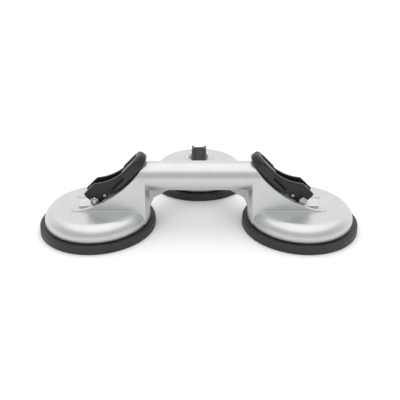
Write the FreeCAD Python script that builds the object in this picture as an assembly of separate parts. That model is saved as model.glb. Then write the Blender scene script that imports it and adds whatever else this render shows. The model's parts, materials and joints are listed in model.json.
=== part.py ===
import FreeCAD, Part
import math
import os
from collections import namedtuple

# Suction lifter with three cups and one round handle.
# All lengths are millimetres. The origin lies on the ground under the middle of the
# lifter, +X runs along the handle, +Y from the handle to the rear cup, +Z up.
# Each cup is drawn in a frame of its own: origin on the ground under the cup's centre,
# +X towards the handle, and the lever swings in its XZ plane.

# Layout of the cups
FRONT_CUP_SPACING = 211.2
ROW_SPACING = 110.4

# Rubber pad
PAD_DIAMETER = 120.0
PAD_RIM_HEIGHT = 8.0
PAD_DRAFT = 0.5
PAD_EDGE_ROUND = 0.8
PAD_SEAL_WIDTH = 14.0
PAD_DISH_DEPTH = 1.0
PAD_POCKET_FLOOR = 5.5
PAD_WEB_TOP = 7.0
PAD_RAMP_WIDTH = 2.0

# Steel plate bonded in the pad
PLATE_DIAMETER = 60.0
PLATE_THICKNESS = 2.5
PLATE_GAP = 0.3

# Cast dishes
DISH_DIAMETER = 107.8
DISH_TOP = 24.0
DISH_SHOULDER = 12.0
DISH_WALL = 4.0
DISH_INNER_ROUND = 8.0
DISH_SEAT_GAP = 0.3
DISH_UNDERCUT = 1.2
RIB_COUNT = 8
RIB_THICKNESS = 3.0
RIB_DEPTH = 2.2
BOSS_DIAMETER = 18.0
BOSS_DEPTH = 2.2

# Handle tube and the pylons that carry it
HANDLE_DIAMETER = 29.7
HANDLE_HEIGHT = 56.4
PYLON_RADIUS = 54.5
PYLON_DRAFT_DEG = 4.0
PYLON_EDGE_ROUND = 1.2
RAMP_RADIUS = 115.0
RAMP_START_X = -16.6
RAMP_START_DEG = 13.5
POCKET_END_X = 14.0
POCKET_SIDE_GAP = 4.0
POCKET_ROUND = 3.0

# Arms from the pylons to the rear dish
ARM_DIRECTION_DEG = 52.0
ARM_START_X = 51.0
ARM_START_Y = 11.0
ARM_WIDTH = 12.5
ARM_UNDERSIDE = 23.5
ARM_TOP_AT_PYLON = 48.0
ARM_TOP_AT_REAR = 31.0
ARM_ROOT_LENGTH = 26.0
ARM_SPAN = 60.0
ARM_FADE_LENGTH = 22.0
ARM_FOOT = 12.0
ARM_GUSSET = 5.0
ARM_ROUND = 3.0

# Rear seat and the bed that the rear lever rests in
REAR_SEAT_HALF_WIDTH = 16.5
REAR_SEAT_START_X = -18.6
REAR_SEAT_FADE = 6.0
REAR_BED_HALF_WIDTH = 14.0
REAR_SEAT_BLOCK_TOP = 31.0

# Bearing plate under the lever's heel
BEARING_START_X = -17.5
BEARING_END_X = 13.6
BEARING_WIDTH = 18.0
BEARING_THICKNESS = 2.0
BEARING_CORNER = 2.5

# Pull stud and the pivot
PIVOT_HEIGHT = 32.0
STUD_DIAMETER = 10.0
STUD_GUIDE_GAP = 0.3
STUD_FLANGE_DIAMETER = 18.0
STUD_FLANGE_THICKNESS = 2.0
STUD_EYE_RADIUS = 5.5
STUD_EYE_WIDTH = 8.8
STUD_NECK_TOP = 26.5
PIVOT_CLEARANCE = 0.05
BOLT_DIAMETER = 5.0
BOLT_HEAD_FLATS = 8.0
BOLT_HEAD_HEIGHT = 3.5
NUT_FLATS = 8.0
NUT_HEIGHT = 3.4
NUT_COLLAR_DIAMETER = 7.4
NUT_COLLAR_HEIGHT = 0.8
BOLT_END_LENGTH = 0.5
WASHER_DIAMETER = 9.5
WASHER_FACE_GAP = 0.3
FASTENER_CHAMFER = 0.5

# Lever channel, drawn about the pivot as it lies on a front ramp
CHANNEL_INNER_WIDTH = 11.5
CHANNEL_SHEET = 1.8
CHEEK_RADIUS = 5.0
HEEL_RADIUS = 5.0
HEEL_DISTANCE = 8.2
HEEL_DIRECTION_DEG = 130.0
CAM_DIRECTION_DEG = 150.0
CAM_DISTANCE = 12.7
CAM_FACE_LENGTH = 5.2
WALL_CORNER = (1.5, 18.8)
WALL_DIP = (15.0, 21.6)
WALL_END = (36.0, 36.5)
SEAM_END = (40.3, 33.4)
SEAM_START = (14.0, 8.0)
CHEEK_TOE = (8.6, 0.2)
LIP_OVERHANG = 1.1
LIP_THICKNESS = 1.3
CROSS_PIN_CENTRE = (10.4, 5.2)
CROSS_PIN_DIAMETER = 3.2
CROSS_PIN_BORE = 1.4
CROSS_PIN_OVERHANG = 1.0
CROSS_PIN_CHAMFER = 0.3

# Moulded grip on the lever's end
GRIP_REST_GAP = 0.4
GRIP_HALF_WIDTH = 13.0
GRIP_TOE_HALF_WIDTH = 9.5
GRIP_TOE_X = 17.0
GRIP_TOE_DEPTH = 3.0
GRIP_TOE_START = 17.0
GRIP_TOE_FLARE = 10.0
GRIP_NECK = (29.5, 31.5)
GRIP_NECK_FOOT_X = 32.0
GRIP_NOSE_CENTRE = (48.4, 43.2)
GRIP_NOSE_RADIUS = 5.2
GRIP_NOSE_LOW_DEG = -15.0
GRIP_UNDER_END_X = 51.0
GRIP_AXIS_DEG = 50.0
GRIP_LENGTH = 69.4
GRIP_EDGE_ROUND = 3.0
RECESS_START = 43.0
RECESS_END = 59.0
RECESS_HALF_WIDTH = 4.6
RECESS_DEPTH = 1.3

# Rest position of the lever on each cup, turned from the pose on a front ramp
REAR_LEVER_TURN_DEG = -38.0

# Sizes that follow from the ones above
BIG = 400.0
TINY = 0.01
PAD_RADIUS = PAD_DIAMETER / 2
DISH_RADIUS = DISH_DIAMETER / 2
DISH_RIM = PAD_RIM_HEIGHT + DISH_SEAT_GAP
HANDLE_RADIUS = HANDLE_DIAMETER / 2
PLATE_BOTTOM = PAD_POCKET_FLOOR + PLATE_GAP
PLATE_TOP = PLATE_BOTTOM + PLATE_THICKNESS
GUIDE_RADIUS = STUD_DIAMETER / 2 + STUD_GUIDE_GAP
CHANNEL_HALF_WIDTH = CHANNEL_INNER_WIDTH / 2 + CHANNEL_SHEET
POCKET_HALF_WIDTH = BEARING_WIDTH / 2 + POCKET_SIDE_GAP
WASHER_THICKNESS = (CHANNEL_INNER_WIDTH - STUD_EYE_WIDTH) / 2 - WASHER_FACE_GAP
PIVOT_HOLE_RADIUS = BOLT_DIAMETER / 2 + PIVOT_CLEARANCE
RAMP_CENTRE = (
    RAMP_START_X - RAMP_RADIUS * math.sin(math.radians(RAMP_START_DEG)),
    DISH_TOP + RAMP_RADIUS * math.cos(math.radians(RAMP_START_DEG)),
)

Cup = namedtuple("Cup", "name x y turn lever_turn")
CUPS = [
    Cup("left", -FRONT_CUP_SPACING / 2, -ROW_SPACING / 2, 0, 0),
    Cup("right", FRONT_CUP_SPACING / 2, -ROW_SPACING / 2, 180, 0),
    Cup("rear", 0, ROW_SPACING / 2, -90, REAR_LEVER_TURN_DEG),
]
LEFT, RIGHT, REAR = CUPS

AXIS_X = FreeCAD.Vector(1, 0, 0)
AXIS_Y = FreeCAD.Vector(0, 1, 0)
AXIS_Z = FreeCAD.Vector(0, 0, 1)
ORIGIN = FreeCAD.Vector(0, 0, 0)


# Drawing helpers

def side_point(spot):
    """A point of a side view, which lies in the XZ plane."""
    return FreeCAD.Vector(spot[0], 0, spot[1])


def polar(centre, radius, angle_deg):
    """The spot at a distance and an angle from a centre, in a side view."""
    angle = math.radians(angle_deg)
    return (centre[0] + radius * math.cos(angle), centre[1] + radius * math.sin(angle))


def line(start, end):
    return Part.LineSegment(side_point(start), side_point(end)).toShape()


def arc(start, middle, end):
    return Part.Arc(side_point(start), side_point(middle), side_point(end)).toShape()


def arc_about(centre, radius, start_deg, end_deg):
    middle_deg = (start_deg + end_deg) / 2
    spots = [polar(centre, radius, angle) for angle in (start_deg, middle_deg, end_deg)]
    return arc(*spots)


def polygon(spots):
    """A closed face in the side view, with straight sides."""
    corners = [side_point(spot) for spot in spots]
    return Part.Face(Part.makePolygon(corners + corners[:1]))


def outline(edges):
    """A closed face in the side view, from its edges in order."""
    return Part.Face(Part.Wire(edges))


def slab(face, half_width, middle=0.0):
    """A side view face made solid, as wide each side of the plane y = middle."""
    moved = face.translated(AXIS_Y * (middle - half_width))
    return moved.extrude(AXIS_Y * (2 * half_width))


def block(x_range, y_range, z_range):
    corner = FreeCAD.Vector(x_range[0], y_range[0], z_range[0])
    return Part.makeBox(
        x_range[1] - x_range[0], y_range[1] - y_range[0], z_range[1] - z_range[0], corner)


def upright_cylinder(radius, bottom, top):
    return Part.makeCylinder(radius, top - bottom, FreeCAD.Vector(0, 0, bottom))


def cross_cylinder(radius, start_y, end_y, centre=(0.0, 0.0)):
    """A cylinder along Y, seen as a circle in the side view."""
    base = FreeCAD.Vector(centre[0], start_y, centre[1])
    return Part.makeCylinder(radius, end_y - start_y, base, AXIS_Y)


def turned_profile(face):
    """A side view face with x as its radius, spun about the Z axis."""
    return face.revolve(ORIGIN, AXIS_Z, 360)


def long_edges(shape, direction, wanted=lambda edge: True):
    """Straight edges that run along a direction."""
    found = []
    for edge in shape.Edges:
        if edge.Curve.TypeId != "Part::GeomLine":
            continue
        if abs(edge.Curve.Direction.dot(direction)) > 0.999 and wanted(edge):
            found.append(edge)
    return found


def at_cup(shape, cup):
    """Takes a shape from a cup's frame to the frame of the whole lifter."""
    spin = FreeCAD.Rotation(AXIS_Z, cup.turn)
    return shape.transformed(FreeCAD.Placement(FreeCAD.Vector(cup.x, cup.y, 0), spin).toMatrix())


def at_pivot(shape, cup):
    """Takes a lever piece from the pivot's frame to the lifter, at the lever's rest turn."""
    tilt = FreeCAD.Rotation(AXIS_Y * -1, cup.lever_turn)
    place = FreeCAD.Placement(FreeCAD.Vector(0, 0, PIVOT_HEIGHT), tilt)
    return at_cup(shape.transformed(place.toMatrix()), cup)


# Casting: three dishes, two pylons, the handle and two arms in one piece

def dish_outside():
    shoulder = (DISH_RADIUS - DISH_SHOULDER, DISH_TOP - DISH_SHOULDER)
    edges = [
        line((0, DISH_RIM), (DISH_RADIUS - DISH_UNDERCUT, DISH_RIM)),
        line((DISH_RADIUS - DISH_UNDERCUT, DISH_RIM), (DISH_RADIUS, DISH_RIM + DISH_UNDERCUT)),
        line((DISH_RADIUS, DISH_RIM + DISH_UNDERCUT), (DISH_RADIUS, shoulder[1])),
        arc_about(shoulder, DISH_SHOULDER, 0, 90),
        line((shoulder[0], DISH_TOP), (0, DISH_TOP)),
        line((0, DISH_TOP), (0, DISH_RIM)),
    ]
    return turned_profile(outline(edges))


def dish_cavity():
    """The hollow under a dish, around the boss that guides the pull stud."""
    radius = DISH_RADIUS - DISH_WALL
    ceiling = DISH_TOP - DISH_WALL
    bend = (radius - DISH_INNER_ROUND, ceiling - DISH_INNER_ROUND)
    edges = [
        line((0, 0), (radius, 0)),
        line((radius, 0), (radius, bend[1])),
        arc_about(bend, DISH_INNER_ROUND, 0, 90),
        line((bend[0], ceiling), (0, ceiling)),
        line((0, ceiling), (0, 0)),
    ]
    hollow = turned_profile(outline(edges))
    boss = upright_cylinder(BOSS_DIAMETER / 2, ceiling - BOSS_DEPTH, ceiling)
    ribs = boss
    for number in range(RIB_COUNT // 2):
        rib = block((-radius, radius), (-RIB_THICKNESS / 2, RIB_THICKNESS / 2),
                    (ceiling - RIB_DEPTH, ceiling))
        rib.rotate(ORIGIN, AXIS_Z, number * 360 / RIB_COUNT)
        ribs = ribs.fuse(rib)
    return hollow.cut(ribs)


def pylon_section(length_range):
    """Drafted sides that run into the round of the handle, as a bar along X."""
    draft = math.radians(PYLON_DRAFT_DEG)
    tangent = (HANDLE_RADIUS * math.cos(draft), HANDLE_HEIGHT + HANDLE_RADIUS * math.sin(draft))
    foot_z = DISH_RIM + DISH_UNDERCUT
    foot = (tangent[0] + (tangent[1] - foot_z) * math.tan(draft), foot_z)
    crown = (0, HANDLE_HEIGHT + HANDLE_RADIUS)
    edges = [
        line((-foot[0], foot_z), foot),
        line(foot, tangent),
        arc(tangent, crown, (-tangent[0], tangent[1])),
        line((-tangent[0], tangent[1]), (-foot[0], foot_z)),
    ]
    face = outline(edges)
    face.rotate(ORIGIN, AXIS_Z, 90)
    face.translate(AXIS_X * length_range[0])
    return face.extrude(AXIS_X * (length_range[1] - length_range[0]))


def pylon():
    """Ramp that rises from the dish to the handle and carries the lever at rest."""
    bar = pylon_section((2 * RAMP_START_X, PYLON_RADIUS + 1))
    sweep = cross_cylinder(RAMP_RADIUS, -BIG / 2, BIG / 2, RAMP_CENTRE)
    return bar.cut(sweep).common(upright_cylinder(PYLON_RADIUS, 0, BIG))


def bearing_pocket(end_x):
    """Flat-floored pocket around the bearing plate, cut down to the dish's top."""
    pocket = block((2 * RAMP_START_X, end_x), (-POCKET_HALF_WIDTH, POCKET_HALF_WIDTH), (DISH_TOP, BIG))
    corners = long_edges(pocket, AXIS_Z, lambda edge: edge.BoundBox.XMin > 0)
    return pocket.makeFillet(POCKET_ROUND, corners)


def rear_bed_cylinder(half_width):
    """The front ramp's curve, turned down about the pivot with the rear lever."""
    turn = math.radians(REAR_LEVER_TURN_DEG)
    x = RAMP_CENTRE[0]
    z = RAMP_CENTRE[1] - PIVOT_HEIGHT
    centre = (x * math.cos(turn) - z * math.sin(turn),
              x * math.sin(turn) + z * math.cos(turn) + PIVOT_HEIGHT)
    return centre, cross_cylinder(RAMP_RADIUS, -half_width, half_width, centre)


def rear_seat():
    """Low seat on the rear dish, flat by the bearing plate and rising towards the arms."""
    centre, bed = rear_bed_cylinder(BIG / 2)
    seat_top = centre[1] - RAMP_RADIUS
    side = polygon([
        (REAR_SEAT_START_X - REAR_SEAT_FADE, DISH_TOP - 1),
        (REAR_SEAT_START_X - REAR_SEAT_FADE, DISH_TOP),
        (REAR_SEAT_START_X + REAR_SEAT_FADE, seat_top),
        (centre[0], seat_top),
        (centre[0], REAR_SEAT_BLOCK_TOP),
        (PYLON_RADIUS, REAR_SEAT_BLOCK_TOP),
        (PYLON_RADIUS, DISH_TOP - DISH_SHOULDER),
        (DISH_RADIUS - DISH_SHOULDER, DISH_TOP - DISH_SHOULDER),
        (DISH_RADIUS - DISH_SHOULDER, DISH_TOP - 1),
    ])
    raw = slab(side, REAR_SEAT_HALF_WIDTH)
    return raw.cut(bed).common(upright_cylinder(PYLON_RADIUS, 0, BIG))


def arm(side):
    """Rib from a pylon to the rear dish. side is -1 on the left and +1 on the right."""
    span_end = ARM_SPAN
    tip = ARM_SPAN + ARM_FADE_LENGTH
    face = outline([
        line((-ARM_ROOT_LENGTH, ARM_FOOT), (-ARM_GUSSET, ARM_FOOT)),
        line((-ARM_GUSSET, ARM_FOOT), (ARM_GUSSET, ARM_UNDERSIDE)),
        line((ARM_GUSSET, ARM_UNDERSIDE), (span_end - ARM_GUSSET, ARM_UNDERSIDE)),
        line((span_end - ARM_GUSSET, ARM_UNDERSIDE), (span_end + ARM_GUSSET, ARM_FOOT)),
        line((span_end + ARM_GUSSET, ARM_FOOT), (tip, ARM_FOOT)),
        line((tip, ARM_FOOT), (tip, DISH_TOP)),
        arc((tip, DISH_TOP), (span_end, ARM_TOP_AT_REAR), (0, ARM_TOP_AT_PYLON)),
        line((0, ARM_TOP_AT_PYLON), (-ARM_ROOT_LENGTH, ARM_TOP_AT_PYLON)),
        line((-ARM_ROOT_LENGTH, ARM_TOP_AT_PYLON), (-ARM_ROOT_LENGTH, ARM_FOOT)),
    ])
    rib = face.extrude(AXIS_Y * ARM_WIDTH)
    top_edges = [
        edge for edge in rib.Edges
        if edge.BoundBox.YLength < TINY and edge.BoundBox.ZMin > DISH_TOP - TINY and edge.BoundBox.XLength > 1
    ]
    rib = rib.makeFillet(ARM_ROUND, top_edges)
    rib.rotate(ORIGIN, AXIS_Z, ARM_DIRECTION_DEG)
    rib.translate(FreeCAD.Vector(-ARM_START_X, ARM_START_Y - ROW_SPACING / 2, 0))
    if side > 0:
        rib = rib.mirror(ORIGIN, AXIS_X)
    return rib


def casting():
    handle_end = FRONT_CUP_SPACING / 2 - PYLON_RADIUS / 2
    handle = Part.makeCylinder(
        HANDLE_RADIUS, 2 * handle_end, FreeCAD.Vector(-handle_end, -ROW_SPACING / 2, HANDLE_HEIGHT), AXIS_X)
    wedge = pylon()
    ramp_cut = cross_cylinder(RAMP_RADIUS, -BIG / 2, BIG / 2, RAMP_CENTRE)
    for cup in (LEFT, RIGHT):
        handle = handle.cut(at_cup(ramp_cut, cup))
    bed = rear_bed_cylinder(REAR_BED_HALF_WIDTH)[1]
    arms = arm(-1).fuse(arm(1)).fuse(at_cup(rear_seat(), REAR))
    body = arms.cut(at_cup(bed, REAR)).fuse(handle)
    for cup in CUPS:
        body = body.fuse(at_cup(dish_outside(), cup))
    for cup in (LEFT, RIGHT):
        body = body.fuse(at_cup(wedge, cup))
    for cup in CUPS:
        body = body.cut(at_cup(bearing_pocket(POCKET_END_X), cup))
        body = body.cut(at_cup(dish_cavity(), cup))
        body = body.cut(at_cup(upright_cylinder(GUIDE_RADIUS, 0, BIG / 8), cup))
    return body.removeSplitter()


# Pieces of one cup

def suction_pad():
    """Rubber disc with a flat sealing ring and a pocket for the steel plate."""
    rim_top = PAD_RADIUS - PAD_DRAFT
    seal_inner = PAD_RADIUS - PAD_SEAL_WIDTH
    pocket = PLATE_DIAMETER / 2 + PLATE_GAP
    face = polygon([
        (0, PAD_DISH_DEPTH),
        (seal_inner - PAD_RAMP_WIDTH, PAD_DISH_DEPTH),
        (seal_inner, 0),
        (PAD_RADIUS - PAD_EDGE_ROUND, 0),
        (PAD_RADIUS, PAD_EDGE_ROUND),
        (rim_top, PAD_RIM_HEIGHT - PAD_EDGE_ROUND),
        (rim_top - PAD_EDGE_ROUND, PAD_RIM_HEIGHT),
        (seal_inner + PAD_RAMP_WIDTH, PAD_RIM_HEIGHT),
        (seal_inner, PAD_WEB_TOP),
        (pocket, PAD_WEB_TOP),
        (pocket, PAD_POCKET_FLOOR),
        (0, PAD_POCKET_FLOOR),
    ])
    return turned_profile(face)


def pad_plate():
    disc = upright_cylinder(PLATE_DIAMETER / 2, PLATE_BOTTOM, PLATE_TOP)
    return disc.makeChamfer(FASTENER_CHAMFER, disc.Edges)


def pull_stud():
    """Stud with a foot flange on the steel plate and a flat eye for the pivot bolt."""
    flange = upright_cylinder(STUD_FLANGE_DIAMETER / 2, PLATE_TOP, PLATE_TOP + STUD_FLANGE_THICKNESS)
    shank = upright_cylinder(STUD_DIAMETER / 2, PLATE_TOP, PIVOT_HEIGHT)
    flats = block((-STUD_DIAMETER, STUD_DIAMETER), (-STUD_EYE_WIDTH / 2, STUD_EYE_WIDTH / 2),
                  (0, PIVOT_HEIGHT))
    neck = shank.common(flats).fuse(shank.common(upright_cylinder(STUD_DIAMETER, 0, STUD_NECK_TOP)))
    eye = cross_cylinder(STUD_EYE_RADIUS, -STUD_EYE_WIDTH / 2, STUD_EYE_WIDTH / 2, (0, PIVOT_HEIGHT))
    stud = flange.fuse(neck).fuse(eye)
    hole = cross_cylinder(PIVOT_HOLE_RADIUS, -STUD_EYE_WIDTH, STUD_EYE_WIDTH, (0, PIVOT_HEIGHT))
    return stud.cut(hole).removeSplitter()


def bearing_plate():
    plate = block((BEARING_START_X, BEARING_END_X), (-BEARING_WIDTH / 2, BEARING_WIDTH / 2),
                  (DISH_TOP, DISH_TOP + BEARING_THICKNESS))
    plate = plate.makeFillet(BEARING_CORNER, long_edges(plate, AXIS_Z))
    return plate.cut(upright_cylinder(GUIDE_RADIUS, 0, BIG / 8))


# Lever pieces, drawn about the pivot

def cheek_face():
    """Side view of the lever channel: pivot eye, heel with its cam face, wall and seam."""
    pivot = (0.0, 0.0)
    heel = polar(pivot, HEEL_DISTANCE, HEEL_DIRECTION_DEG)
    side_deg = HEEL_DIRECTION_DEG + 90
    cam_start = polar(heel, HEEL_RADIUS, CAM_DIRECTION_DEG)
    heel_corner = polar(cam_start, CAM_FACE_LENGTH, CAM_DIRECTION_DEG - 90)
    toe_distance = math.hypot(*CHEEK_TOE)
    toe_deg = math.degrees(math.atan2(CHEEK_TOE[1], CHEEK_TOE[0]))
    tangent_deg = toe_deg - math.degrees(math.acos(CHEEK_RADIUS / toe_distance))
    return outline([
        arc_about(pivot, CHEEK_RADIUS, side_deg, tangent_deg + 360),
        line(polar(pivot, CHEEK_RADIUS, tangent_deg), CHEEK_TOE),
        line(CHEEK_TOE, SEAM_START),
        line(SEAM_START, SEAM_END),
        line(SEAM_END, WALL_END),
        arc(WALL_END, WALL_DIP, WALL_CORNER),
        line(WALL_CORNER, heel_corner),
        line(heel_corner, cam_start),
        arc_about(heel, HEEL_RADIUS, CAM_DIRECTION_DEG, side_deg),
        line(polar(heel, HEEL_RADIUS, side_deg), polar(pivot, CHEEK_RADIUS, side_deg)),
    ])


def strip(start, end, thickness):
    """Side view of sheet along a line, with its thickness to the left of start to end."""
    length = math.hypot(end[0] - start[0], end[1] - start[1])
    step = (-(end[1] - start[1]) * thickness / length, (end[0] - start[0]) * thickness / length)
    return polygon([start, end, (end[0] + step[0], end[1] + step[1]),
                    (start[0] + step[0], start[1] + step[1])])


def lever_arm():
    cheek = cheek_face()
    half_sheet = CHANNEL_SHEET / 2
    cheek_middle = CHANNEL_INNER_WIDTH / 2 + half_sheet
    heel = polar((0.0, 0.0), HEEL_DISTANCE, HEEL_DIRECTION_DEG)
    cam_start = polar(heel, HEEL_RADIUS, CAM_DIRECTION_DEG)
    heel_corner = polar(cam_start, CAM_FACE_LENGTH, CAM_DIRECTION_DEG - 90)
    channel = slab(strip(SEAM_START, SEAM_END, CHANNEL_SHEET), CHANNEL_HALF_WIDTH)
    channel = channel.fuse(slab(strip(WALL_CORNER, heel_corner, CHANNEL_SHEET), CHANNEL_HALF_WIDTH))
    lip_low = [(x, z - LIP_THICKNESS) for x, z in (WALL_END, WALL_DIP, WALL_CORNER)]
    lip_face = outline([
        arc(WALL_END, WALL_DIP, WALL_CORNER),
        line(WALL_CORNER, lip_low[2]),
        arc(lip_low[2], lip_low[1], lip_low[0]),
        line(lip_low[0], WALL_END),
    ])
    for side in (-1, 1):
        channel = channel.fuse(slab(cheek, half_sheet, side * cheek_middle))
        lip_middle = side * (CHANNEL_HALF_WIDTH + LIP_OVERHANG / 2)
        channel = channel.fuse(slab(lip_face, LIP_OVERHANG / 2, lip_middle))
    pivot_hole = cross_cylinder(PIVOT_HOLE_RADIUS, -BIG / 8, BIG / 8)
    pin_hole = cross_cylinder(CROSS_PIN_DIAMETER / 2, -BIG / 8, BIG / 8, CROSS_PIN_CENTRE)
    return channel.cut(pivot_hole).cut(pin_hole).removeSplitter()


def grip_side_face():
    """Side view of the grip: toe, underside that follows the ramp, nose and top."""
    centre = (RAMP_CENTRE[0], RAMP_CENTRE[1] - PIVOT_HEIGHT)
    radius = RAMP_RADIUS - GRIP_REST_GAP
    toe_low_x = GRIP_TOE_X + GRIP_TOE_DEPTH

    def underside(x):
        return (x, centre[1] - math.sqrt(radius ** 2 - (x - centre[0]) ** 2))

    seam_rise = (SEAM_END[1] - SEAM_START[1]) / (SEAM_END[0] - SEAM_START[0])
    toe_high = (GRIP_TOE_X, SEAM_START[1] + seam_rise * (GRIP_TOE_X - SEAM_START[0]))
    neck_foot = (GRIP_NECK_FOOT_X, SEAM_START[1] + seam_rise * (GRIP_NECK_FOOT_X - SEAM_START[0]))
    nose_low = polar(GRIP_NOSE_CENTRE, GRIP_NOSE_RADIUS, GRIP_NOSE_LOW_DEG)
    nose_tip = polar(GRIP_NOSE_CENTRE, GRIP_NOSE_RADIUS, GRIP_AXIS_DEG)
    nose_high = polar(GRIP_NOSE_CENTRE, GRIP_NOSE_RADIUS, 90 + GRIP_AXIS_DEG)
    under_end = underside(GRIP_UNDER_END_X)
    under_middle = underside((toe_low_x + GRIP_UNDER_END_X) / 2)
    return outline([
        line(toe_high, underside(toe_low_x)),
        arc(underside(toe_low_x), under_middle, under_end),
        line(under_end, nose_low),
        arc(nose_low, nose_tip, nose_high),
        line(nose_high, GRIP_NECK),
        line(GRIP_NECK, neck_foot),
        line(neck_foot, toe_high),
    ])


def grip_plan():
    """The grip seen square to its top: narrow toe, straight sides and a round nose."""
    toe_end = GRIP_TOE_START + GRIP_TOE_FLARE
    nose_start = GRIP_LENGTH - GRIP_HALF_WIDTH
    face = outline([
        line((GRIP_TOE_START, -GRIP_TOE_HALF_WIDTH), (toe_end, -GRIP_HALF_WIDTH)),
        line((toe_end, -GRIP_HALF_WIDTH), (nose_start, -GRIP_HALF_WIDTH)),
        arc((nose_start, -GRIP_HALF_WIDTH), (GRIP_LENGTH, 0), (nose_start, GRIP_HALF_WIDTH)),
        line((nose_start, GRIP_HALF_WIDTH), (toe_end, GRIP_HALF_WIDTH)),
        line((toe_end, GRIP_HALF_WIDTH), (GRIP_TOE_START, GRIP_TOE_HALF_WIDTH)),
        line((GRIP_TOE_START, GRIP_TOE_HALF_WIDTH), (GRIP_TOE_START, -GRIP_TOE_HALF_WIDTH)),
    ])
    return tilted_plan(face, -BIG / 4, BIG / 2)


def tilted_plan(face, depth, height):
    """A plan outline drawn in the side view, laid along the grip's top and made solid."""
    face.rotate(ORIGIN, AXIS_X, -90)
    face.translate(AXIS_Z * depth)
    prism = face.extrude(AXIS_Z * height)
    prism.rotate(ORIGIN, AXIS_Y, -GRIP_AXIS_DEG)
    return prism


def lever_grip(arm_solid):
    """Moulded grip with the end of the channel set in it and a shallow recess on top."""
    grip = slab(grip_side_face(), GRIP_HALF_WIDTH + 1).common(grip_plan())
    grip = grip.makeFillet(GRIP_EDGE_ROUND, grip_outer_edges(grip))
    recess_face = outline([
        line((RECESS_START, -RECESS_HALF_WIDTH), (RECESS_END, -RECESS_HALF_WIDTH)),
        arc((RECESS_END, -RECESS_HALF_WIDTH), (RECESS_END + RECESS_HALF_WIDTH, 0),
            (RECESS_END, RECESS_HALF_WIDTH)),
        line((RECESS_END, RECESS_HALF_WIDTH), (RECESS_START, RECESS_HALF_WIDTH)),
        arc((RECESS_START, RECESS_HALF_WIDTH), (RECESS_START - RECESS_HALF_WIDTH, 0),
            (RECESS_START, -RECESS_HALF_WIDTH)),
    ])
    axis = math.radians(GRIP_AXIS_DEG)
    top = GRIP_NOSE_CENTRE[1] * math.cos(axis) - GRIP_NOSE_CENTRE[0] * math.sin(axis) + GRIP_NOSE_RADIUS
    recess = tilted_plan(recess_face, top - RECESS_DEPTH, BIG / 8)
    return grip.cut(recess).cut(arm_solid).removeSplitter()


def grip_outer_edges(grip):
    """Long edges of the grip's sides: one of its top, and both of its underside."""
    found = []
    for edge in grip.Edges:
        box = edge.BoundBox
        on_side = box.YLength < TINY and abs(abs(box.YMin) - GRIP_HALF_WIDTH) < TINY
        is_top = abs(box.XMin - GRIP_NECK[0]) < TINY and abs(box.ZMin - GRIP_NECK[1]) < TINY
        if on_side and (is_top or edge.Curve.TypeId == "Part::GeomCircle"):
            found.append(edge)
    return found


# Fasteners of the pivot

def hex_prism(flats, start_y, length):
    corner_radius = flats / math.sqrt(3)
    face = polygon([polar((0.0, 0.0), corner_radius, 30 + 60 * number) for number in range(6)])
    prism = face.translated(AXIS_Y * start_y).extrude(AXIS_Y * length)
    cone_limit = cross_cylinder(corner_radius, start_y, start_y + length)
    cone_limit = cone_limit.makeChamfer(FASTENER_CHAMFER, cone_limit.Edges)
    return prism.common(cone_limit)


def pivot_bolt():
    """Hexagon bolt along Y, with its head on the far side of the channel."""
    head = hex_prism(BOLT_HEAD_FLATS, CHANNEL_HALF_WIDTH, BOLT_HEAD_HEIGHT)
    end = -CHANNEL_HALF_WIDTH - NUT_HEIGHT - NUT_COLLAR_HEIGHT - BOLT_END_LENGTH
    shank = cross_cylinder(BOLT_DIAMETER / 2, end, CHANNEL_HALF_WIDTH)
    tip = [edge for edge in shank.Edges if edge.BoundBox.YMax < end + TINY]
    return shank.makeChamfer(FASTENER_CHAMFER, tip).fuse(head)


def lock_nut():
    """Hexagon nut with the round collar that holds its locking ring."""
    base = -CHANNEL_HALF_WIDTH - NUT_HEIGHT
    nut = hex_prism(NUT_FLATS, base, NUT_HEIGHT)
    collar = cross_cylinder(NUT_COLLAR_DIAMETER / 2, base - NUT_COLLAR_HEIGHT, base)
    rim = [edge for edge in collar.Edges if edge.BoundBox.YMax < base - NUT_COLLAR_HEIGHT + TINY]
    nut = nut.fuse(collar.makeFillet(FASTENER_CHAMFER, rim))
    return nut.cut(cross_cylinder(BOLT_DIAMETER / 2, -BIG / 8, BIG / 8)).removeSplitter()


def washers():
    """Two spacer washers between the stud's eye and the cheeks of the channel."""
    cheek = CHANNEL_INNER_WIDTH / 2
    solids = []
    for start in (-cheek, cheek - WASHER_THICKNESS):
        ring = cross_cylinder(WASHER_DIAMETER / 2, start, start + WASHER_THICKNESS)
        solids.append(ring.cut(cross_cylinder(PIVOT_HOLE_RADIUS, -BIG / 8, BIG / 8)))
    return Part.makeCompound(solids)


def cross_pin():
    """Rolled pin that ties the two cheeks together ahead of the pivot."""
    half_length = CHANNEL_HALF_WIDTH + CROSS_PIN_OVERHANG
    pin = cross_cylinder(CROSS_PIN_DIAMETER / 2, -half_length, half_length, CROSS_PIN_CENTRE)
    pin = pin.makeChamfer(CROSS_PIN_CHAMFER, [edge for edge in pin.Edges if edge.Closed])
    return pin.cut(cross_cylinder(CROSS_PIN_BORE / 2, -BIG / 8, BIG / 8, CROSS_PIN_CENTRE))


def nodes_for(cup):
    arm_solid = lever_arm()
    return {
        "suction_pad": at_cup(suction_pad(), cup),
        "pad_plate": at_cup(pad_plate(), cup),
        "pull_stud": at_cup(pull_stud(), cup),
        "bearing_plate": at_cup(bearing_plate(), cup),
        "lever_arm": at_pivot(arm_solid, cup),
        "lever_grip": at_pivot(lever_grip(arm_solid), cup),
        "pivot_bolt": at_pivot(pivot_bolt(), cup),
        "lock_nut": at_pivot(lock_nut(), cup),
        "washers": at_pivot(washers(), cup),
        "cross_pin": at_pivot(cross_pin(), cup),
    }


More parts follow.
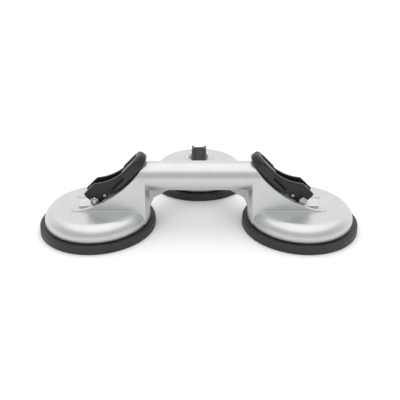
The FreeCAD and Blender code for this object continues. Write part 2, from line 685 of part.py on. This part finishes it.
def main():
    os.makedirs("parts", exist_ok=True)
    pieces = {"body_casting": casting()}
    for cup in CUPS:
        for name, shape in nodes_for(cup).items():
            pieces[cup.name + "_" + name] = shape
    for name, shape in pieces.items():
        print(name, len(shape.Solids), shape.isValid(), round(shape.Volume, 1))
        shape.exportStep("parts/" + name + ".step")


main()
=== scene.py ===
import json
import math
from collections import namedtuple

import bmesh
import bpy
from mathutils import Matrix, Vector


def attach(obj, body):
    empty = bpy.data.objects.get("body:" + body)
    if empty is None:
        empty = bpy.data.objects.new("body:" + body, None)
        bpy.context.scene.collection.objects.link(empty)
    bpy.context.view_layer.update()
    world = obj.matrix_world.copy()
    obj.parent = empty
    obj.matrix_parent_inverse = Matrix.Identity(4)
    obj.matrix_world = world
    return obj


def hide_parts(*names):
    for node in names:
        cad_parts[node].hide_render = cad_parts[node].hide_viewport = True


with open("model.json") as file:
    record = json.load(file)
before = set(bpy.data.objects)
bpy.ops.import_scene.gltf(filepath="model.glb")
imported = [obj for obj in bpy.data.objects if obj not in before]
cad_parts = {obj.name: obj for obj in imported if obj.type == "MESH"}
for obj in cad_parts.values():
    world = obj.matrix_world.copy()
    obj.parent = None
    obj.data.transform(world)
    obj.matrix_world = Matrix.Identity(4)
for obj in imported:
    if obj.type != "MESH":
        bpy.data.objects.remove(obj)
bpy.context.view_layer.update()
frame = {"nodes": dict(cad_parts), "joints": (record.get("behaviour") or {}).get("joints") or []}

# Suction lifter with three cups: camera, light, surfaces, and the finer forms of the levers
# and of the front ramps.
# Lengths are metres. The lifter stands on the floor at z = 0, its handle along X.

# Camera, at the photograph's place and angle
CAMERA_PLACE = (0.00121, -0.5033, 0.26285)
CAMERA_DOWN_DEG = 27.63
CAMERA_LENS = 43.96
CAMERA_SENSOR = 36.0

# Floor, and the light that comes from the front, the back and straight above
FLOOR_SIZE = 60.0
FLOOR_TONE = 0.80
FLOOR_TONE_SEEN = 0.97
FLOOR_ROUGHNESS = 0.9
FRONT_LIGHT = 0.6
BACK_LIGHT = 1.08
ROOM_LIGHT_START = -0.35
ROOM_LIGHT_END = 0.5
TOP_LIGHT = 1.62
TOP_LIGHT_START = 0.63
TOP_LIGHT_END = 0.85

# Tints of the finishes, and how each surface is drawn
WHITE = (1.0, 1.0, 1.0)
PAINT_TINT = (0.972, 1.0, 0.968)
RUBBER_TINT = (0.93, 1.0, 0.94)
COATING_TINT = (0.92, 1.0, 0.9)
ZINC_TINT = (1.0, 1.0, 0.98)
EDGE_SAMPLES = 8
Spots = namedtuple("Spots", "scale detail start end")
Grain = namedtuple("Grain", "scale detail strength depth")

FRONT_CUPS = ("left", "right")
CUPS = FRONT_CUPS + ("rear",)
REAR_LEVER_TURN_DEG = -38.0
ARC_STEPS = 10
OPEN_SIDE_STEPS = 12
SHARP_ANGLE_DEG = 30.0

# Lever channel, in its side view about the pivot: x towards the handle, z up, y across
SHEET = 0.0018
INNER_HALF_WIDTH = 0.00575
OUTER_HALF_WIDTH = INNER_HALF_WIDTH + SHEET
MIDDLE_HALF_WIDTH = (INNER_HALF_WIDTH + OUTER_HALF_WIDTH) / 2
PIVOT = (0.0, 0.0)
CHEEK_RADIUS = 0.0042
HEEL = (-0.0079, 0.0064)
HEEL_RADIUS = 0.0025
PIN_EYE = (0.0098, 0.0038)
PIN_EYE_RADIUS = 0.0026
SEAM_START = (0.0140, 0.0080)
SEAM_END = (0.0403, 0.0334)
WALL_END = (0.0360, 0.0365)
WALL_DIP = (0.0150, 0.0218)
WALL_CORNER = (0.0012, 0.0186)
WEB_START = (0.0185, 0.0123)
WEB_END = (-0.0060, 0.0112)
WEB_SHEET = 0.0013
LIP_OVERHANG = 0.0011
LIP_THICKNESS = 0.0013
LIP_SIDE = OUTER_HALF_WIDTH + LIP_OVERHANG
SHEET_EDGE_ROUND = 0.00035
SHEET_EDGE_STEPS = 2

# Thin tails of the two ramp walls on a front dish, in the same side view
TAIL_OUTLINE = ((-0.0232, -0.0080), (-0.0115, -0.0080), (-0.0115, -0.0067),
                (-0.0172, -0.00745), (-0.0232, -0.00785))
TAIL_INNER_SIDE = 0.01295
TAIL_OUTER_SIDE = 0.0172

# Locking ring in the collar of each nut
RING_INNER_RADIUS = 0.00252
RING_OUTER_RADIUS = 0.0033
RING_START = 0.0115
RING_END = 0.0119
RING_STEPS = 40


# Node helpers

class Shader:
    """A material's node tree, with short calls that add and link nodes."""

    def __init__(self, name):
        self.material = bpy.data.materials.new(name)
        self.material.use_nodes = True
        self.tree = self.material.node_tree
        self.surface = self.tree.nodes["Principled BSDF"]

    def add(self, kind, **settings):
        node = self.tree.nodes.new(kind)
        for key, value in settings.items():
            setattr(node, key, value)
        return node

    def link(self, output, socket):
        self.tree.links.new(output, socket)

    def set(self, socket, value):
        """Gives a socket of the surface a constant value."""
        self.surface.inputs[socket].default_value = value

    def feed(self, socket, output):
        """Links a node's output to a socket of the surface."""
        self.link(output, self.surface.inputs[socket])

    def noise(self, scale, detail):
        """Noise over the object's own place, in spots per metre."""
        place = self.add("ShaderNodeTexCoord").outputs["Object"]
        node = self.add("ShaderNodeTexNoise")
        node.inputs["Scale"].default_value = scale
        node.inputs["Detail"].default_value = detail
        self.link(place, node.inputs["Vector"])
        return node.outputs["Fac"]

    def spread(self, value, low, high, start=0.0, end=1.0):
        """Maps a value from start..end to low..high."""
        node = self.add("ShaderNodeMapRange")
        node.inputs["From Min"].default_value = start
        node.inputs["From Max"].default_value = end
        node.inputs["To Min"].default_value = low
        node.inputs["To Max"].default_value = high
        self.link(value, node.inputs["Value"])
        return node.outputs["Result"]

    def spots(self, spots):
        """Soft spots, from 0 between them to 1 on them."""
        return self.spread(self.noise(spots.scale, spots.detail), 0.0, 1.0, spots.start, spots.end)

    def mix(self, factor, first, second):
        """Mixes two colours, each given as a colour or as another node's output."""
        node = self.add("ShaderNodeMix", data_type="RGBA")
        self.link(factor, node.inputs["Factor"])
        colours = [socket for socket in node.inputs if socket.type == "RGBA"]
        for socket, colour in zip(colours, (first, second)):
            if isinstance(colour, tuple):
                socket.default_value = colour
            else:
                self.link(colour, socket)
        return next(socket for socket in node.outputs if socket.type == "RGBA")

    def relief(self, grain, edge_round):
        """Fine grain, over edges that look as if they were rounded by edge_round."""
        edges = self.add("ShaderNodeBevel", samples=EDGE_SAMPLES)
        edges.inputs["Radius"].default_value = edge_round
        node = self.add("ShaderNodeBump")
        node.inputs["Strength"].default_value = grain.strength
        node.inputs["Distance"].default_value = grain.depth
        self.link(edges.outputs["Normal"], node.inputs["Normal"])
        self.link(self.noise(grain.scale, grain.detail), node.inputs["Height"])
        self.feed("Normal", node.outputs["Normal"])


def grey(value, tint=WHITE):
    return (value * tint[0], value * tint[1], value * tint[2], 1.0)


# Materials

def silver_paint():
    """Satin silver paint on the casting, with fine metal flakes and a soft cloudiness."""
    shader = Shader("silver_paint")
    clouds = shader.spots(Spots(scale=60.0, detail=2.0, start=0.3, end=0.7))
    flakes = shader.spots(Spots(scale=2600.0, detail=1.0, start=0.35, end=0.65))
    base = shader.mix(clouds, grey(0.52, PAINT_TINT), grey(0.57, PAINT_TINT))
    shader.feed("Base Color", shader.mix(flakes, base, grey(0.70, PAINT_TINT)))
    shader.feed("Roughness", shader.spread(flakes, 0.28, 0.38))
    shader.set("Metallic", 0.75)
    shader.relief(Grain(scale=1800.0, detail=3.0, strength=0.2, depth=0.0002), edge_round=0.0014)
    return shader.material


def spotted(name, dark, light, spots, roughness, grain, edge_round, gloss_tint=WHITE, metallic=0.0):
    """A finish whose tone and roughness vary together in soft spots."""
    shader = Shader(name)
    blend = shader.spots(spots)
    shader.feed("Base Color", shader.mix(blend, dark, light))
    shader.feed("Roughness", shader.spread(blend, *roughness))
    shader.set("Metallic", metallic)
    shader.set("Specular Tint", grey(1.0, gloss_tint))
    shader.relief(grain, edge_round)
    return shader.material


def black_rubber():
    """Matt black rubber with a faint grain and a dusty bloom."""
    return spotted(
        "black_rubber", dark=grey(0.018, RUBBER_TINT), light=grey(0.032, RUBBER_TINT),
        spots=Spots(scale=90.0, detail=4.0, start=0.35, end=0.75), roughness=(0.45, 0.6),
        grain=Grain(scale=900.0, detail=3.0, strength=0.2, depth=0.0002),
        edge_round=0.0006, gloss_tint=RUBBER_TINT)


def black_plastic():
    """Moulded black plastic of the grips, with a fine moulded grain."""
    return spotted(
        "black_plastic", dark=grey(0.010, COATING_TINT), light=grey(0.020, COATING_TINT),
        spots=Spots(scale=150.0, detail=5.0, start=0.35, end=0.75), roughness=(0.30, 0.42),
        grain=Grain(scale=1500.0, detail=2.0, strength=0.25, depth=0.0002),
        edge_round=0.0005, gloss_tint=COATING_TINT)


def black_steel():
    """Black-coated pressed steel of the channels, with a faint orange peel."""
    return spotted(
        "black_steel", dark=grey(0.010, COATING_TINT), light=grey(0.019, COATING_TINT),
        spots=Spots(scale=200.0, detail=4.0, start=0.4, end=0.75), roughness=(0.32, 0.44),
        grain=Grain(scale=700.0, detail=3.0, strength=0.2, depth=0.0002),
        edge_round=0.0004, gloss_tint=COATING_TINT)


def ring_nylon():
    """Dark nylon of the nuts' locking rings."""
    return spotted(
        "ring_nylon", dark=grey(0.02), light=grey(0.045),
        spots=Spots(scale=1200.0, detail=2.0, start=0.35, end=0.7), roughness=(0.4, 0.55),
        grain=Grain(scale=1500.0, detail=2.0, strength=0.15, depth=0.0001),
        edge_round=0.0002)


def zinc_steel(name, low, high, roughness):
    """Zinc-plated steel with a slightly mottled, satin face."""
    return spotted(
        name, dark=grey(low), light=grey(high, ZINC_TINT),
        spots=Spots(scale=300.0, detail=3.0, start=0.35, end=0.7), roughness=roughness,
        grain=Grain(scale=1200.0, detail=2.0, strength=0.05, depth=0.0001),
        edge_round=0.0004, metallic=1.0)


def dress_nodes(paint, coating):
    """Gives every CAD node its material."""
    rubber = black_rubber()
    plastic = black_plastic()
    plain = zinc_steel("plain_steel", 0.50, 0.62, (0.30, 0.40))
    bright = zinc_steel("bright_steel", 0.64, 0.72, (0.30, 0.36))
    kinds = {
        "suction_pad": rubber,
        "pad_plate": plain,
        "pull_stud": plain,
        "bearing_plate": bright,
        "lever_arm": coating,
        "lever_grip": plastic,
        "pivot_bolt": bright,
        "lock_nut": bright,
        "washers": plain,
        "cross_pin": bright,
    }
    wear = {"body_casting": paint}
    for cup in CUPS:
        for kind, material in kinds.items():
            wear[cup + "_" + kind] = material
    for name, material in wear.items():
        node = frame["nodes"][name]
        node.data.materials.clear()
        node.data.materials.append(material)


# Side view shapes of the lever channel

def polar(centre, radius, angle_deg):
    angle = math.radians(angle_deg)
    return (centre[0] + radius * math.cos(angle), centre[1] + radius * math.sin(angle))


def arc_spots(centre, radius, start_deg, end_deg, steps=ARC_STEPS):
    turns = [start_deg + (end_deg - start_deg) * number / steps for number in range(steps + 1)]
    return [polar(centre, radius, turn) for turn in turns]


def direction_deg(start, end):
    return math.degrees(math.atan2(end[1] - start[1], end[0] - start[0]))


def normal_deg(start, end, radius, other_radius, side):
    """Direction of the normal of a tangent that two circles share, on one side of them."""
    turn = math.degrees(math.acos((radius - other_radius) / math.dist(start, end)))
    return direction_deg(start, end) + side * turn


def open_side():
    """The open side's edge: an arc from its end through its dip to its corner."""
    first, second = Vector(WALL_DIP) - Vector(WALL_END), Vector(WALL_CORNER) - Vector(WALL_END)
    area = 2.0 * (first.x * second.y - first.y * second.x)
    first_square, second_square = first.length_squared, second.length_squared
    centre = (WALL_END[0] + (second.y * first_square - first.y * second_square) / area,
              WALL_END[1] + (first.x * second_square - second.x * first_square) / area)
    return arc_spots(centre, math.dist(centre, WALL_END), direction_deg(centre, WALL_END),
                     direction_deg(centre, WALL_CORNER), OPEN_SIDE_STEPS)


def strip(start, end, thickness):
    """Sheet along a line, with its thickness to the left of start to end."""
    left = Vector((start[1] - end[1], end[0] - start[0])).normalized() * thickness
    return [start, end, tuple(Vector(end) + left), tuple(Vector(start) + left)]


def cheek_outline(heel_side_deg):
    """One cheek: heel, pivot eye, pin eye, seam, the open side and the heel's flat side."""
    heel_turn = normal_deg(PIVOT, HEEL, CHEEK_RADIUS, HEEL_RADIUS, 1)
    eye_turn = normal_deg(PIVOT, PIN_EYE, CHEEK_RADIUS, PIN_EYE_RADIUS, -1)
    leave = normal_deg(PIN_EYE, SEAM_START, PIN_EYE_RADIUS, 0.0, -1)
    return (arc_spots(HEEL, HEEL_RADIUS, heel_side_deg, heel_turn)
            + arc_spots(PIVOT, CHEEK_RADIUS, heel_turn, eye_turn + 360.0)
            + arc_spots(PIN_EYE, PIN_EYE_RADIUS, eye_turn, leave)
            + [SEAM_START, SEAM_END]
            + open_side())


def lip_outline():
    """Lip along the open side, as a curved strip."""
    upper = open_side()
    return upper + [(x, z - LIP_THICKNESS) for x, z in reversed(upper)]


# Added pieces

def lever_place(cup):
    """Takes a spot of the lever's side view, at rest, to the lifter."""
    joint = next(joint for joint in frame["joints"] if joint["name"] == cup + "_lever_turn")
    axis = Vector(joint["axis"])
    up = Vector((0.0, 0.0, 1.0))
    turn_deg = REAR_LEVER_TURN_DEG if cup == "rear" else 0.0
    axes = Matrix((up.cross(axis), -axis, up)).transposed().to_4x4()
    turn = Matrix.Rotation(math.radians(turn_deg), 4, axis)
    return Matrix.Translation(joint["pos_m"]) @ turn @ axes


def add_prism(mesh, outline, low, high):
    """A closed prism over a side view outline, from y = low to y = high."""
    near = [mesh.verts.new((x, low, z)) for x, z in outline]
    far = [mesh.verts.new((x, high, z)) for x, z in outline]
    mesh.faces.new(near)
    mesh.faces.new(far[::-1])
    for number in range(len(outline)):
        after = (number + 1) % len(outline)
        mesh.faces.new((near[after], near[number], far[number], far[after]))


def make_piece(name, mesh, cup, body, material):
    """Turns a mesh drawn in the lever's side view into an object that rides on a body."""
    mesh.transform(lever_place(cup))
    bmesh.ops.recalc_face_normals(mesh, faces=mesh.faces)
    data = bpy.data.meshes.new(name)
    mesh.to_mesh(data)
    mesh.free()
    data.materials.append(material)
    data.shade_smooth()
    data.set_sharp_from_angle(angle=math.radians(SHARP_ANGLE_DEG))
    piece = bpy.data.objects.new(name, data)
    bpy.context.scene.collection.objects.link(piece)
    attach(piece, body)
    return piece


def channel(cup, material):
    """The pressed channel: two cheeks with lips, the seam sheet and a web over the stud."""
    mesh = bmesh.new()
    for sheet in (strip(SEAM_START, SEAM_END, SHEET), strip(WEB_START, WEB_END, WEB_SHEET)):
        add_prism(mesh, sheet, -MIDDLE_HALF_WIDTH, MIDDLE_HALF_WIDTH)
    heel_side_deg = normal_deg(HEEL, WALL_CORNER, HEEL_RADIUS, 0.0, 1)
    cheek = cheek_outline(heel_side_deg)
    heel_end = polar(HEEL, HEEL_RADIUS, heel_side_deg)
    lips = (lip_outline(), strip(WALL_CORNER, heel_end, LIP_THICKNESS))
    for side in (-1, 1):
        add_prism(mesh, cheek, side * INNER_HALF_WIDTH, side * OUTER_HALF_WIDTH)
        for lip in lips:
            add_prism(mesh, lip, side * MIDDLE_HALF_WIDTH, side * LIP_SIDE)
    piece = make_piece(cup + "_channel", mesh, cup, cup + "_lever", material)
    rounding = piece.modifiers.new("edges", "BEVEL")
    rounding.width = SHEET_EDGE_ROUND
    rounding.segments = SHEET_EDGE_STEPS
    rounding.limit_method = "ANGLE"
    rounding.harden_normals = True
    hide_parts(cup + "_lever_arm")


def locking_ring(cup, material):
    """The ring that shows in the nut's collar around the bolt's end."""
    mesh = bmesh.new()
    corners = ((RING_INNER_RADIUS, RING_START), (RING_OUTER_RADIUS, RING_START),
               (RING_OUTER_RADIUS, RING_END), (RING_INNER_RADIUS, RING_END))
    rings = []
    for radius, depth in corners:
        spots = [polar(PIVOT, radius, 360.0 * number / RING_STEPS) for number in range(RING_STEPS)]
        rings.append([mesh.verts.new((x, -depth, z)) for x, z in spots])
    for ring, following in zip(rings, rings[1:] + rings[:1]):
        for number in range(RING_STEPS):
            after = (number + 1) % RING_STEPS
            mesh.faces.new((ring[number], ring[after], following[after], following[number]))
    make_piece(cup + "_locking_ring", mesh, cup, cup + "_lever", material)


def ramp_tails(cup, material):
    """The low tails in which the two walls of a front ramp run out over the dish."""
    mesh = bmesh.new()
    for side in (-1, 1):
        add_prism(mesh, TAIL_OUTLINE, side * TAIL_INNER_SIDE, side * TAIL_OUTER_SIDE)
    make_piece(cup + "_ramp_tails", mesh, cup, "body", material)


# Camera, floor and light

def make_camera():
    data = bpy.data.cameras.new("camera")
    data.lens = CAMERA_LENS
    data.sensor_width = CAMERA_SENSOR
    data.sensor_fit = "HORIZONTAL"
    camera = bpy.data.objects.new("camera", data)
    camera.location = CAMERA_PLACE
    camera.rotation_euler = (math.radians(90.0 - CAMERA_DOWN_DEG), 0.0, 0.0)
    bpy.context.scene.collection.objects.link(camera)
    bpy.context.scene.camera = camera


def make_floor():
    """Pale plain floor that looks white to the camera and keeps the part's shadow."""
    bpy.ops.mesh.primitive_plane_add(size=FLOOR_SIZE, location=(0.0, 0.0, 0.0))
    floor = bpy.context.object
    floor.name = "floor"
    shader = Shader("floor")
    path = shader.add("ShaderNodeLightPath")
    seen = shader.add("ShaderNodeMath", operation="MAXIMUM")
    shader.link(path.outputs["Is Camera Ray"], seen.inputs[0])
    shader.link(path.outputs["Is Glossy Ray"], seen.inputs[1])
    seen_through = shader.add("ShaderNodeMath", operation="MAXIMUM")
    shader.link(seen.outputs[0], seen_through.inputs[0])
    shader.link(path.outputs["Is Transmission Ray"], seen_through.inputs[1])
    tone = shader.mix(seen_through.outputs[0], grey(FLOOR_TONE), grey(FLOOR_TONE_SEEN))
    shader.feed("Base Color", tone)
    shader.set("Roughness", FLOOR_ROUGHNESS)
    floor.data.materials.append(shader.material)


def smooth_step(tree, value, start, end):
    """A node that rises smoothly from 0 to 1 as a value goes from start to end."""
    node = tree.nodes.new("ShaderNodeMapRange")
    node.interpolation_type = "SMOOTHSTEP"
    node.inputs["From Min"].default_value = start
    node.inputs["From Max"].default_value = end
    tree.links.new(value, node.inputs["Value"])
    return node


def make_light():
    """Studio light: a soft box overhead, a bright room behind and a darker one in front."""
    world = bpy.data.worlds.new("world")
    world.use_nodes = True
    bpy.context.scene.world = world
    tree = world.node_tree
    place = tree.nodes.new("ShaderNodeTexCoord")
    split = tree.nodes.new("ShaderNodeSeparateXYZ")
    tree.links.new(place.outputs["Generated"], split.inputs["Vector"])
    room = smooth_step(tree, split.outputs["Y"], ROOM_LIGHT_START, ROOM_LIGHT_END)
    room.inputs["To Min"].default_value = FRONT_LIGHT
    room.inputs["To Max"].default_value = BACK_LIGHT
    above = smooth_step(tree, split.outputs["Z"], TOP_LIGHT_START, TOP_LIGHT_END)
    blend = tree.nodes.new("ShaderNodeMix")
    blend.inputs["B"].default_value = TOP_LIGHT
    tree.links.new(above.outputs["Result"], blend.inputs["Factor"])
    tree.links.new(room.outputs["Result"], blend.inputs["A"])
    background = tree.nodes["Background"]
    background.inputs["Color"].default_value = grey(1.0)
    tree.links.new(blend.outputs["Result"], background.inputs["Strength"])
    bpy.context.scene.view_settings.view_transform = "Standard"


make_camera()
make_floor()
make_light()
silver = silver_paint()
coated_steel = black_steel()
nylon = ring_nylon()
dress_nodes(silver, coated_steel)
for cup_name in CUPS:
    channel(cup_name, coated_steel)
    locking_ring(cup_name, nylon)
for cup_name in FRONT_CUPS:
    ramp_tails(cup_name, silver)
